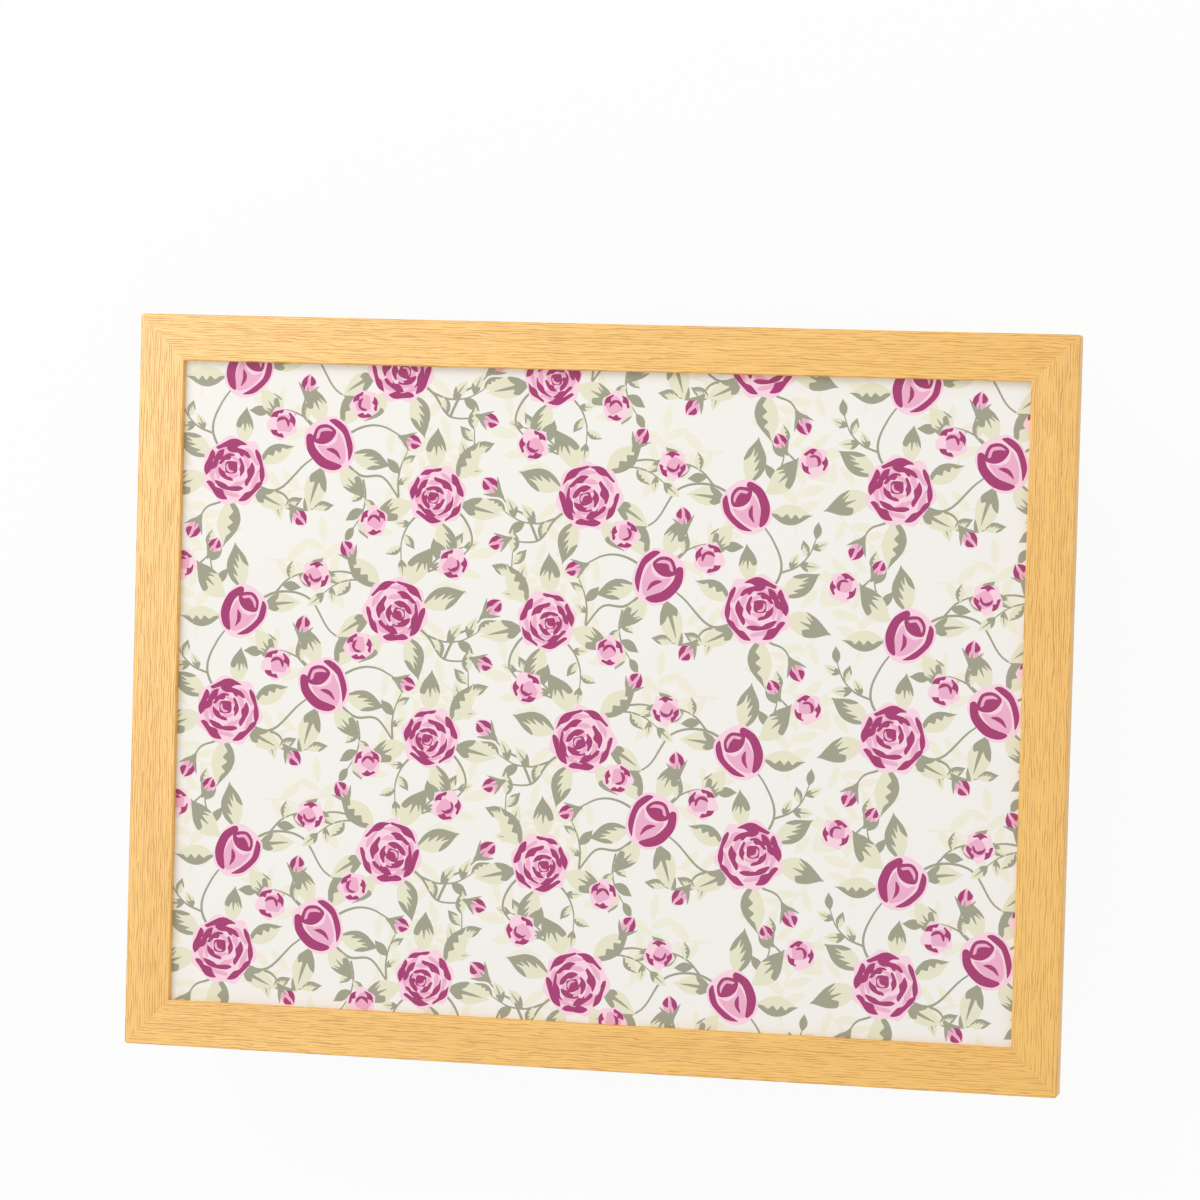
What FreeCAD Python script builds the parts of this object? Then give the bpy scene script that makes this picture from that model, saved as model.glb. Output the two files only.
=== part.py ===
import FreeCAD, Part
import math
import os

from FreeCAD import Placement, Rotation, Vector

# A lap tray: a mitred picture-frame tray that hook and loop strips hold on a bead-filled cushion.
# Millimetres. X runs along the tray, +Y to its rear edge, +Z up. The origin is under its middle, on the lap.

# Tray frame
tray_length = 450.0
tray_depth = 350.0
rail_face = 22.0
rail_height = 10.0
rim_height = 3.0
rebate_width = 8.0
outer_edge_radius = 0.6
inner_edge_radius = 0.8
frame_corner_radius = 1.6

# Printed sheet and the board under it
print_thickness = 0.6
board_thickness = 5.0
board_play = 0.4

# V-nails across each mitre
v_nail_leg = 7.0
v_nail_height = 7.0
v_nail_thickness = 0.6
v_nail_place_shares = (0.28, 0.66)

# Framing points that hold the board up
point_length = 14.0
point_width = 5.0
point_thickness = 0.5
points_on_long_rail = 4
points_on_short_rail = 3

# Hook and loop strips
strip_length = 110.0
strip_width = 25.0
strip_corner = 2.5
strip_end_margin = 42.0
strip_side_margin = 54.5
hook_thickness = 1.4
loop_thickness = 1.6

# Cushion cover
cushion_inset = 23.0
cushion_height = 56.0
cushion_corner = 34.0
cover_thickness = 1.0
draw_in = 6.0
seam_pinch = 1.0
band_bulge = 2.5
base_crown_rise = 15.0
base_crown_width = 38.0
top_crown_rise = 5.0
top_crown_width = 22.0
crown_steps = 6

# Bead liner and filling
liner_play = 0.3
liner_thickness = 0.6
bead_play = 0.3

# Zip along the rear of the cushion
zip_margin = 62.0
zip_gap = 9.0
tape_seam_gap = 3.0
tape_thickness = 0.8
tape_end = 8.0
teeth_thickness = 2.4
teeth_root_width = 1.3
teeth_tip_width = 1.2
teeth_slit = 1.0
tooth_pitch = 3.0
tooth_width = 1.6
stop_length = 3.0
stop_margin = 3.0
stop_wall = 0.6

# Zip slider
slider_length = 11.0
slider_width = 8.4
slider_plate = 1.0
slider_play = 0.3
slider_flange = 0.8
slider_nose_share = 0.62
slider_shoulder_share = 0.3
slider_post_length = 6.0
slider_post_play = 0.2
bridge_length = 6.0
bridge_width = 2.0
bridge_wall = 1.2
bridge_opening = 2.2

# Zip pull tab
tab_length = 24.0
tab_width = 7.0
tab_thickness = 1.4
tab_eye_length = 4.4
tab_eye_play = 0.6
tab_corner = 2.3
tab_hole_radius = 1.4

# Cuts run past the surfaces that they open
overrun = 5.0

# Levels, from the lap up
base_seam_z = base_crown_rise
top_seam_z = cushion_height - top_crown_rise
loop_top_z = cushion_height + loop_thickness
board_bottom_z = loop_top_z + hook_thickness
board_top_z = board_bottom_z + board_thickness
print_top_z = board_top_z + print_thickness
frame_top_z = print_top_z + rim_height
frame_bottom_z = frame_top_z - rail_height

# Places that several pieces share
rail_leg = rail_face - rebate_width
rebate_height = rail_height - rim_height
opening_length = tray_length - 2 * rail_face
opening_depth = tray_depth - 2 * rail_face
board_length = tray_length - 2 * rail_leg - 2 * board_play
board_depth = tray_depth - 2 * rail_leg - 2 * board_play
cushion_length = tray_length - 2 * cushion_inset
cushion_depth = tray_depth - 2 * cushion_inset
strip_x = cushion_length / 2 - strip_end_margin - strip_length / 2
strip_y = cushion_depth / 2 - strip_side_margin - strip_width / 2
zip_window = cushion_length - 2 * zip_margin
rear_y = cushion_depth / 2
zip_z = (base_seam_z + top_seam_z) / 2
chain_y = rear_y - cover_thickness - tape_thickness / 2
chain_half_width = teeth_slit / 2 + teeth_tip_width + teeth_root_width
tape_width = top_seam_z - zip_z - chain_half_width - tape_seam_gap
chain_half_length = zip_window / 2 - stop_margin - stop_length
slider_x = chain_half_length - slider_length / 2 - slider_play
plate_inner = teeth_thickness / 2 + slider_play
plate_outer = plate_inner + slider_plate
hinge_y = chain_y + plate_outer + bridge_opening / 2


def box(low, high):
    """A box between two opposite corners."""
    return Part.makeBox(high[0] - low[0], high[1] - low[1], high[2] - low[2], Vector(*low))


def prism(points, bottom, height):
    """A plan outline, drawn at the given level and raised."""
    corners = [Vector(x, y, bottom) for x, y in points]
    outline = Part.makePolygon(corners + corners[:1])
    return Part.Face(outline).extrude(Vector(0, 0, height))


def rounded_plate(length, width, thickness, radius, centre):
    """A flat plate with rounded corners; the centre is that of its lower face."""
    low = (centre[0] - length / 2, centre[1] - width / 2, centre[2])
    high = (centre[0] + length / 2, centre[1] + width / 2, centre[2] + thickness)
    plate = box(low, high)
    upright = [edge for edge in plate.Edges if edge.BoundBox.ZLength > thickness / 2]
    return plate.makeFillet(radius, upright)


def joined(shapes):
    """Several touching solids as one clean solid."""
    return shapes[0].fuse(shapes[1:]).removeSplitter()


def save(name, shape):
    """Writes one node and prints its volume."""
    shape.exportStep(os.path.join("parts", name + ".step"))
    print(f"{name}: {len(shape.Solids)} solid(s), {shape.Volume:.1f} mm3, valid {shape.isValid()}")


def arc_about(centre, radius, start, end, level):
    """A level arc round a centre from one angle to another, in radians."""
    angles = (start, (start + end) / 2, end)
    spots = [Vector(centre[0] + radius * math.cos(a), centre[1] + radius * math.sin(a), level) for a in angles]
    return Part.Arc(*spots).toShape()


# The tray's frame

def moulding_profile():
    """The rail's section: Y inwards from the outer side, Z up from the rail's underside."""
    def spot(inward, up):
        return Vector(0, inward, up)

    def round_off(centre, radius, start, end):
        angles = [math.radians(a) for a in (start, (start + end) / 2, end)]
        return Part.Arc(*[spot(centre[0] + radius * math.cos(a), centre[1] + radius * math.sin(a))
                          for a in angles]).toShape()

    lip_centre = (rail_face - inner_edge_radius, rail_height - inner_edge_radius)
    outer_centre = (outer_edge_radius, rail_height - outer_edge_radius)
    straight = [
        (spot(0, 0), spot(rail_leg, 0)),
        (spot(rail_leg, 0), spot(rail_leg, rebate_height)),
        (spot(rail_leg, rebate_height), spot(rail_face, rebate_height)),
        (spot(rail_face, rebate_height), spot(rail_face, lip_centre[1])),
        (spot(lip_centre[0], rail_height), spot(outer_centre[0], rail_height)),
        (spot(0, outer_centre[1]), spot(0, 0)),
    ]
    edges = [Part.LineSegment(a, b).toShape() for a, b in straight]
    edges.append(round_off(lip_centre, inner_edge_radius, 0, 90))
    edges.append(round_off(outer_centre, outer_edge_radius, 90, 180))
    return Part.Face(Part.Wire(Part.__sortEdges__(edges)))


def rail(length, turn, middle):
    """One mitred rail, made along X and turned about Z to its side of the tray."""
    half = length / 2
    bar = moulding_profile().extrude(Vector(length, 0, 0))
    bar.translate(Vector(-half, 0, 0))
    mitre = [(-half, 0), (half, 0), (half - rail_face, rail_face), (-half + rail_face, rail_face)]
    bar = bar.common(prism(mitre, 0, rail_height))
    bar.Placement = Placement(Vector(middle[0], middle[1], frame_bottom_z), Rotation(Vector(0, 0, 1), turn))
    outline = rounded_plate(tray_length, tray_depth, rail_height, frame_corner_radius, (0, 0, frame_bottom_z))
    return bar.common(outline)


def v_nail(side_x, side_y, share):
    """One V-nail: its ridge on the mitre, a leg into each rail."""
    inward = share * rail_leg
    ridge_x = side_x * (tray_length / 2 - inward)
    ridge_y = side_y * (tray_depth / 2 - inward)
    steps = [(0, 0), (v_nail_leg, 0), (v_nail_leg, v_nail_thickness), (v_nail_thickness, v_nail_thickness),
             (v_nail_thickness, v_nail_leg), (0, v_nail_leg)]
    outline = [(ridge_x - side_x * along, ridge_y - side_y * across) for along, across in steps]
    return prism(outline, frame_bottom_z, v_nail_height)


def v_nails():
    """Two V-nails at each of the four mitres."""
    return [v_nail(sx, sy, share) for sx in (-1, 1) for sy in (-1, 1) for share in v_nail_place_shares]


def framing_points():
    """Flat tabs, half in the rail's leg and half under the board, along all four rails."""
    tabs = []
    low_z = board_bottom_z - point_thickness
    for side in (-1, 1):
        wall_y = side * (tray_depth / 2 - rail_leg)
        for k in range(points_on_long_rail):
            x = opening_length * ((k + 0.5) / points_on_long_rail - 0.5)
            tabs.append(box((x - point_width / 2, wall_y - point_length / 2, low_z),
                            (x + point_width / 2, wall_y + point_length / 2, board_bottom_z)))
        wall_x = side * (tray_length / 2 - rail_leg)
        for k in range(points_on_short_rail):
            y = opening_depth * ((k + 0.5) / points_on_short_rail - 0.5)
            tabs.append(box((wall_x - point_length / 2, y - point_width / 2, low_z),
                            (wall_x + point_length / 2, y + point_width / 2, board_bottom_z)))
    return tabs


def make_tray():
    """The rails, what holds them together, and the board with its printed sheet."""
    nails = Part.makeCompound(v_nails())
    tabs = Part.makeCompound(framing_points())
    rails = {
        "frame_rail_front": rail(tray_length, 0, (0, -tray_depth / 2)),
        "frame_rail_right": rail(tray_depth, 90, (tray_length / 2, 0)),
        "frame_rail_rear": rail(tray_length, 180, (0, tray_depth / 2)),
        "frame_rail_left": rail(tray_depth, 270, (-tray_length / 2, 0)),
    }
    for name, bar in rails.items():
        save(name, bar.cut(nails).cut(tabs).Solids[0])
    save("corner_v_nails", nails)
    save("framing_points", tabs)
    half_length = board_length / 2
    half_depth = board_depth / 2
    save("tray_board", box((-half_length, -half_depth, board_bottom_z), (half_length, half_depth, board_top_z)))
    save("print_sheet", box((-half_length, -half_depth, board_top_z), (half_length, half_depth, print_top_z)))


# Hook and loop strips

def make_strips():
    """A hook strip under the board and a loop strip on the cushion, near each corner."""
    for end, side_y in (("front", -1), ("rear", 1)):
        for hand, side_x in (("left", -1), ("right", 1)):
            x = side_x * strip_x
            y = side_y * strip_y
            loop = rounded_plate(strip_length, strip_width, loop_thickness, strip_corner, (x, y, cushion_height))
            hook = rounded_plate(strip_length, strip_width, hook_thickness, strip_corner, (x, y, loop_top_z))
            save(f"loop_strip_{end}_{hand}", loop)
            save(f"hook_strip_{end}_{hand}", hook)


# The cushion's cover and filling

def draw_angle(half_span):
    """How far a corner's arc turns on into a side that is drawn in, tangent to it."""
    angle = 0
    for _ in range(12):
        chord = half_span - cushion_corner * math.sin(angle)
        sagitta = draw_in - cushion_corner * (1 - math.cos(angle))
        angle = 2 * math.atan(sagitta / chord)
    return angle


def cushion_outline(inset, rear_inset, level):
    """A level outline of the cushion: rounded corners, front and ends drawn in, a straight rear for the zip."""
    half_x = cushion_length / 2 - inset - cushion_corner
    front_y = -cushion_depth / 2 + inset + cushion_corner
    back_y = rear_y - rear_inset - cushion_corner
    end_angle = draw_angle((back_y - front_y) / 2)
    front_angle = draw_angle(half_x)
    quarter = math.pi / 2
    corners = [
        arc_about((half_x, front_y), cushion_corner, -quarter - front_angle, end_angle, level),
        arc_about((half_x, back_y), cushion_corner, -end_angle, quarter, level),
        arc_about((-half_x, back_y), cushion_corner, quarter, 2 * quarter + end_angle, level),
        arc_about((-half_x, front_y), cushion_corner, 2 * quarter - end_angle, 3 * quarter + front_angle, level),
    ]
    middle_y = (front_y + back_y) / 2
    end_x = half_x + cushion_corner - draw_in
    drawn = [
        Vector(end_x, middle_y, level),
        None,
        Vector(-end_x, middle_y, level),
        Vector(0, front_y - cushion_corner + draw_in, level),
    ]
    edges = []
    for k, corner in enumerate(corners):
        start = corner.valueAt(corner.LastParameter)
        following = corners[(k + 1) % len(corners)]
        end = following.valueAt(following.FirstParameter)
        side = Part.LineSegment(start, end) if drawn[k] is None else Part.Arc(start, drawn[k], end)
        edges += [corner, side.toShape()]
    return Part.Wire(edges)


def crown_zone(seam_z, rise, width, shrink, rear_shrink):
    """The crowned end of the cushion beyond a seam; a negative rise is below it. A shrunk copy is its inside."""
    outlines = []
    reach = rise - math.copysign(shrink, rise)
    for k in range(crown_steps + 1):
        angle = math.pi / 2 * k / crown_steps
        flat = width * (1 - math.sin(angle))
        level = seam_z + reach * math.cos(angle)
        outlines.append(cushion_outline(flat + seam_pinch + shrink, flat + rear_shrink, level))
    return Part.makeLoft(outlines, True, True)


def base_zone(shrink, rear_shrink):
    return crown_zone(base_seam_z, -base_crown_rise, base_crown_width, shrink, rear_shrink)


def top_zone(shrink, rear_shrink):
    return crown_zone(top_seam_z, top_crown_rise, top_crown_width, shrink, rear_shrink)


def band_zone(shrink, rear_shrink):
    """The cushion between its two seams, fullest half-way up."""
    levels = ((seam_pinch, base_seam_z), (-band_bulge, zip_z), (seam_pinch, top_seam_z))
    outlines = [cushion_outline(inset + shrink, rear_shrink, level) for inset, level in levels]
    return Part.makeLoft(outlines, True, False)


def whole_form(shrink, rear_shrink):
    """The cushion's whole form, shrunk to fit inside its cover."""
    return joined([zone(shrink, rear_shrink) for zone in (base_zone, band_zone, top_zone)])


def make_cushion():
    """The cover's panels, and the bead bag inside it."""
    def skin(zone):
        return zone(0, 0).cut(zone(cover_thickness, cover_thickness))

    save("cushion_base_panel", skin(base_zone).Solids[0])
    save("cushion_top_panel", skin(top_zone).Solids[0])
    half_window = zip_window / 2
    inner_y = rear_y - cover_thickness
    window = box((-half_window, inner_y - overrun, base_seam_z), (half_window, rear_y + overrun, top_seam_z))
    save("cushion_side_band", skin(band_zone).cut(window).Solids[0])
    save("zip_band_lower", box((-half_window, inner_y, base_seam_z), (half_window, rear_y, zip_z - zip_gap / 2)))
    save("zip_band_upper", box((-half_window, inner_y, zip_z + zip_gap / 2), (half_window, rear_y, top_seam_z)))

    liner_inset = cover_thickness + liner_play
    liner_rear = rear_y - chain_y + plate_outer + liner_play
    bead_gap = liner_thickness + bead_play
    liner_outside = whole_form(liner_inset, liner_rear)
    liner_inside = whole_form(liner_inset + liner_thickness, liner_rear + liner_thickness)
    save("bead_liner", liner_outside.cut(liner_inside).Solids[0])
    save("bead_filling", whole_form(liner_inset + bead_gap, liner_rear + bead_gap).Solids[0])


# The zip

def tooth_row(side, offset):
    """A comb of teeth above (side 1) or below (side -1) the zip's middle line."""
    tip_z = zip_z + side * teeth_slit / 2
    step_z = tip_z + side * teeth_tip_width
    root_z = zip_z + side * chain_half_width
    low_y = chain_y - teeth_thickness / 2
    count = int((2 * chain_half_length - abs(offset)) / tooth_pitch)
    start = -count * tooth_pitch / 2 + offset
    outline = [(-chain_half_length, root_z), (-chain_half_length, step_z)]
    for k in range(count):
        left = start + k * tooth_pitch + (tooth_pitch - tooth_width) / 2
        outline += [(left, step_z), (left, tip_z), (left + tooth_width, tip_z), (left + tooth_width, step_z)]
    outline += [(chain_half_length, step_z), (chain_half_length, root_z)]
    corners = [Vector(x, low_y, z) for x, z in outline]
    return Part.Face(Part.makePolygon(corners + corners[:1])).extrude(Vector(0, teeth_thickness, 0))


def end_stop(left, low_z, high_z):
    """A bent metal clip across the chain's end."""
    half = teeth_thickness / 2
    return box((left, chain_y - half - stop_wall, low_z), (left + stop_length, chain_y + half, high_z))


def make_zip_chain():
    """The two tapes, their teeth and the stops at both ends."""
    half_tape = zip_window / 2 + tape_end
    tape_low_y = chain_y - tape_thickness / 2
    for name, side in (("upper", 1), ("lower", -1)):
        ends = sorted((zip_z + side * chain_half_width, zip_z + side * (chain_half_width + tape_width)))
        tape = box((-half_tape, tape_low_y, ends[0]), (half_tape, tape_low_y + tape_thickness, ends[1]))
        save(f"zip_tape_{name}", tape)
        save(f"zip_teeth_{name}", tooth_row(side, side * tooth_pitch / 4))
    slit = teeth_slit / 2
    stops = [
        end_stop(-chain_half_length - stop_length, zip_z - chain_half_width, zip_z + chain_half_width),
        end_stop(chain_half_length, zip_z - chain_half_width, zip_z - slit),
        end_stop(chain_half_length, zip_z + slit, zip_z + chain_half_width),
    ]
    save("zip_end_stops", Part.makeCompound(stops))


def slider_plate_shape(low_y, high_y):
    """One face of the slider: wide where the two rows enter, narrower where they leave closed."""
    half_length = slider_length / 2
    half_width = slider_width / 2
    nose = half_width * slider_nose_share
    shoulder = half_length * slider_shoulder_share
    outline = [(-half_length, -nose), (-shoulder, -half_width), (half_length, -half_width),
               (half_length, half_width), (-shoulder, half_width), (-half_length, nose)]
    corners = [Vector(slider_x + x, low_y, zip_z + z) for x, z in outline]
    return Part.Face(Part.makePolygon(corners + corners[:1])).extrude(Vector(0, high_y - low_y, 0))


def make_slider():
    """Two plates joined by a thin post between the rows, side flanges, and the bridge that holds the tab."""
    def block(from_x, to_x, from_y, to_y, from_z, to_z):
        return box((slider_x + from_x, chain_y + from_y, zip_z + from_z), (slider_x + to_x, chain_y + to_y, zip_z + to_z))

    half_length = slider_length / 2
    half_width = slider_width / 2
    shoulder = half_length * slider_shoulder_share
    half_post = teeth_slit / 2 - slider_post_play
    tape_clear = tape_thickness / 2 + slider_play
    solids = [
        slider_plate_shape(chain_y + plate_inner, chain_y + plate_outer),
        slider_plate_shape(chain_y - plate_outer, chain_y - plate_inner),
        block(half_length - slider_post_length, half_length, -plate_inner, plate_inner, -half_post, half_post),
    ]
    for side in (-1, 1):
        edge = sorted((side * half_width, side * (half_width - slider_flange)))
        solids.append(block(-shoulder, half_length, tape_clear, plate_inner, *edge))
        solids.append(block(-shoulder, half_length, -plate_inner, -tape_clear, *edge))
    half_bridge = bridge_length / 2
    half_span = bridge_width / 2
    arch = block(-half_bridge, half_bridge, plate_outer, plate_outer + bridge_opening + bridge_wall,
                 -half_span, half_span)
    under = block(bridge_wall - half_bridge, half_bridge - bridge_wall, plate_outer,
                  plate_outer + bridge_opening, -half_span - overrun, half_span + overrun)
    solids.append(arch.cut(under))
    save("zip_slider", joined(solids).Solids[0])


def make_pull_tab():
    """A flat tab that lies along the zip; its eye's cross bar turns under the slider's bridge."""
    half = tab_thickness / 2
    plate = box((slider_x - tab_length, hinge_y - half, zip_z - tab_width / 2),
                (slider_x, hinge_y + half, zip_z + tab_width / 2))
    square = [edge for edge in plate.Edges if edge.BoundBox.YLength > half and edge.BoundBox.XMax < slider_x - half]
    plate = plate.makeFillet(tab_corner, square)
    bar = Part.makeCylinder(half, tab_width, Vector(slider_x, hinge_y, zip_z - tab_width / 2), Vector(0, 0, 1))
    eye_half = bridge_width / 2 + tab_eye_play
    eye = box((slider_x - half - tab_eye_length, hinge_y - overrun, zip_z - eye_half),
              (slider_x, hinge_y + overrun, zip_z + eye_half))
    hole = Part.makeCylinder(tab_hole_radius, 2 * overrun,
                             Vector(slider_x - tab_length + tab_width / 2, hinge_y - overrun, zip_z), Vector(0, 1, 0))
    save("zip_pull", joined([plate.cut(eye).cut(hole), bar]).Solids[0])


os.makedirs("parts", exist_ok=True)
make_tray()
make_strips()
make_cushion()
make_zip_chain()
make_slider()
make_pull_tab()
print(f"overall {tray_length} x {tray_depth} x {frame_top_z} mm; print top {print_top_z}, frame bottom {frame_bottom_z}")
print(f"slider at x {slider_x}, zip line z {zip_z}, tab hinge at y {hinge_y}")
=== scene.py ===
# %% [markdown]
# # A lap tray with its cushion
#
# A framed tray sits on a bean cushion: oak-look mouldings round a glossy printed sheet, a fibreboard behind
# it, and a cotton cushion that hook and loop strips hold underneath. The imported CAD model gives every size
# and place. This script gives the parts their finish, prints the sheet, and swaps the plain cushion for one
# of sewn cloth.

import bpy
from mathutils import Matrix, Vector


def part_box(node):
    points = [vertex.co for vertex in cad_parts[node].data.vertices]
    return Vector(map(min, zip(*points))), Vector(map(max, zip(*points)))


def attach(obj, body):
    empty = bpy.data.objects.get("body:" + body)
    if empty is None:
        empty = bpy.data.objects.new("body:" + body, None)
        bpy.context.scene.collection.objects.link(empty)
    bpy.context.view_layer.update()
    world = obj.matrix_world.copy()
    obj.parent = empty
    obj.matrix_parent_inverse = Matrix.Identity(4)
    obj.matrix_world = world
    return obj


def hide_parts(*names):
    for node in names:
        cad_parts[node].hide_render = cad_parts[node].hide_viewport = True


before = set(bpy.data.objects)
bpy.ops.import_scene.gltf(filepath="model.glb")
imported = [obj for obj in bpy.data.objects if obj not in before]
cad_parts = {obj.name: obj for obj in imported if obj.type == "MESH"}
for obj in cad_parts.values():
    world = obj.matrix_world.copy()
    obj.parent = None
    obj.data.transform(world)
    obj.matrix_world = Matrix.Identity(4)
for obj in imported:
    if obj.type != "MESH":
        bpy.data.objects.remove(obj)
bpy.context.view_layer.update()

# %% Modules, and millimetres
import cmath
import math
import random

import bmesh
import bpy
import numpy as np
from mathutils import Color, Euler, Matrix, Vector
from mathutils.geometry import delaunay_2d_cdt

MM = 0.001
scene = bpy.context.scene
scene.view_settings.view_transform = "Standard"
rail_low, rail_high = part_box("frame_rail_left")
print("the rails reach from", round(rail_low.z / MM, 1), "to", round(rail_high.z / MM, 1), "mm")

# %% [markdown]
# ## Camera
#
# A camera can be aimed with a constraint or placed by its own turn. Here the turn came from the picture:
# the four corners of the frame, whose sides are known, fix where a long lens stood. The three angles turn
# the tray as the lens sees it, so the camera itself takes the opposite turn, which for a rotation is the
# transposed matrix.

# %% Camera
picture_width = 1200
focal_pixels = 4733
tray_angles = (2.31, -13.145, -2.09)
tray_turn = Euler([math.radians(angle) for angle in tray_angles], "XYZ").to_matrix()
tray_from_lens = Vector((-4.71, -45.92, -2215.0)) * MM

lens = bpy.data.cameras.new("camera")
lens.sensor_width = 36
lens.lens = focal_pixels / picture_width * lens.sensor_width
lens.clip_end = 20
camera = bpy.data.objects.new("camera", lens)
frame_top = Vector((0, 0, rail_high.z))
camera.matrix_world = tray_turn.transposed().to_4x4()
camera.location = frame_top - tray_turn.transposed() @ tray_from_lens
scene.collection.objects.link(camera)
scene.camera = camera
print("camera at", [round(x, 3) for x in camera.location], "with a lens of", round(lens.lens, 1), "mm")

# %% [markdown]
# ## Shader helpers
#
# Every finish below is a small tree of nodes. Making each node by hand takes three lines, so a few helpers
# make one node each: `put` adds any node, `reckon` a sum, `scaled` a product, `rise` a mask between two
# levels, `noise` a soft cloud of greys, and `blend_ink` a mix of two colours. `paint` and `bump` join such
# nodes to a finish.

# %% Helpers for shader nodes
def put(tree, kind, inputs=None, **settings):
    """Adds a node; inputs gives a socket a number, a colour or another node's output."""
    node = tree.nodes.new("ShaderNode" + kind)
    for name, value in settings.items():
        setattr(node, name, value)
    for socket, value in (inputs or {}).items():
        if isinstance(value, bpy.types.NodeSocket):
            tree.links.new(value, node.inputs[socket])
        else:
            node.inputs[socket].default_value = value
    return node


def reckon(tree, operation, first, second=0.0, third=0.0):
    return put(tree, "Math", {0: first, 1: second, 2: third}, operation=operation).outputs[0]


def scaled(tree, value, by, plus=0.0):
    return reckon(tree, "MULTIPLY_ADD", value, by, plus)


def rise(tree, value, low, high):
    """A mask that climbs smoothly from 0 to 1 while the value goes from low to high."""
    limits = {"Value": value, "From Min": low, "From Max": high}
    return put(tree, "MapRange", limits, interpolation_type="SMOOTHSTEP").outputs["Result"]


def blend_ink(tree, mask, below, above):
    return put(tree, "Mix", {0: mask, 6: below, 7: above}, data_type="RGBA").outputs[2]


def noise(tree, spot, scale, detail, warp=0.0):
    values = {"Vector": spot, "Scale": scale, "Detail": detail, "Distortion": warp}
    return put(tree, "TexNoise", values).outputs[0]


def object_spot(tree):
    """Where a point lies on its object, in metres."""
    return put(tree, "TexCoord").outputs["Object"]


def ink(red, green, blue):
    """A colour as a screen shows it, from 0 to 255, made linear for the shader."""
    shown = Color((red / 255, green / 255, blue / 255))
    return (*shown.from_srgb_to_scene_linear(), 1)


def new_group(name, inputs, outputs):
    """A shader node group with named sockets; gives its tree and its two end nodes."""
    tree = bpy.data.node_groups.new(name, "ShaderNodeTree")
    for direction, sockets in (("INPUT", inputs), ("OUTPUT", outputs)):
        for socket, kind in sockets.items():
            tree.interface.new_socket(socket, in_out=direction, socket_type="NodeSocket" + kind)
    return tree, tree.nodes.new("NodeGroupInput"), tree.nodes.new("NodeGroupOutput")


def new_finish(name, **constants):
    """A material with its shader; constants are set on the shader's own sockets."""
    finish = bpy.data.materials.new(name)
    finish.use_nodes = True
    tree = finish.node_tree
    shader = tree.nodes["Principled BSDF"]
    for socket, value in constants.items():
        shader.inputs[socket.replace("_", " ")].default_value = value
    return finish, tree, shader


def use(tree, group, inputs):
    """Places a node group in a tree."""
    return put(tree, "Group", inputs, node_tree=group).outputs


def paint(tree, shader, mask, below, above):
    """Colours a finish with two inks by a mask."""
    tree.links.new(blend_ink(tree, mask, below, above), shader.inputs["Base Color"])


def bump(tree, shader, height, distance):
    relief = put(tree, "Bump", {"Height": height, "Distance": distance, "Strength": 1.0})
    tree.links.new(relief.outputs[0], shader.inputs["Normal"])


print("helpers are ready")

# %% [markdown]
# ## Light and floor
#
# The picture is a plain product shot: white all round, almost no shadow, and a pale sheen on the left and
# upper rails. A sky that glows evenly gives most of the light. A weak key from the upper left shades the
# rails, and reflections don't see it, because the glossy sheet would show it as glare. A card on the left
# is the opposite: only reflections see it, and it gives the rails their sheen. Through Light Path, the sky
# and the floor look white to the camera and in reflections, while the light that they throw on the tray
# stays at a plain level.

# %% World
def seen_directly(tree):
    """A mask: 1 to the camera, in reflections and through glass, 0 for the light that falls on the tray."""
    path = put(tree, "LightPath").outputs
    mirrored = reckon(tree, "MAXIMUM", path["Is Camera Ray"], path["Is Glossy Ray"])
    return reckon(tree, "MAXIMUM", mirrored, path["Is Transmission Ray"])


sky_glow = 0.81
sky = bpy.data.worlds.new("studio")
sky.use_nodes = True
scene.world = sky
glow = sky.node_tree.nodes["Background"]
glow.inputs["Color"].default_value = (1, 1, 1, 1)
strength = scaled(sky.node_tree, seen_directly(sky.node_tree), 1 - sky_glow, sky_glow)
sky.node_tree.links.new(strength, glow.inputs["Strength"])
print("the sky glows at", sky_glow)

# %% Lamps
def add_lamp(name, place, width, height, power):
    """A soft rectangle of light that looks at the tray; lengths in metres, power in watts."""
    light = bpy.data.lights.new(name, "AREA")
    light.shape = "RECTANGLE"
    light.size, light.size_y, light.energy = width, height, power
    lamp = bpy.data.objects.new(name, light)
    lamp.location = place
    lamp.rotation_euler = (-Vector(place)).to_track_quat("-Z", "Y").to_euler()
    scene.collection.objects.link(lamp)
    return lamp


key_light = add_lamp("key_light", (-1.0, 1.3, 1.15), width=1.3, height=1.0, power=14)
key_light.visible_glossy = False
gloss_card = add_lamp("gloss_card", (-1.45, 0.37, 2.57), width=0.85, height=0.85, power=52)
gloss_card.visible_diffuse = False

# %% Floor
floor_reach = 6.0
floor_sink = 0.2 * MM
floor_white = 0.92


def object_of(bm, name):
    """Makes a bmesh an object of the scene."""
    mesh = bpy.data.meshes.new(name)
    bm.to_mesh(mesh)
    bm.free()
    made = bpy.data.objects.new(name, mesh)
    scene.collection.objects.link(made)
    return made


bm = bmesh.new()
bmesh.ops.create_grid(bm, x_segments=1, y_segments=1, size=floor_reach)
bmesh.ops.translate(bm, vec=(0, 0, -floor_sink), verts=bm.verts)
floor = object_of(bm, "floor")

paper, tree, shader = new_finish("floor_paper", Base_Color=(0.86, 0.86, 0.86, 1), Roughness=0.9)
white = put(tree, "Emission", {"Strength": 1.0})
share = scaled(tree, seen_directly(tree), floor_white)
mixed = put(tree, "MixShader", {0: share, 1: shader.outputs[0], 2: white.outputs[0]})
tree.links.new(mixed.outputs[0], tree.nodes["Material Output"].inputs["Surface"])
floor.data.materials.append(paper)
print("the floor is", 2 * floor_reach, "m wide")

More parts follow.
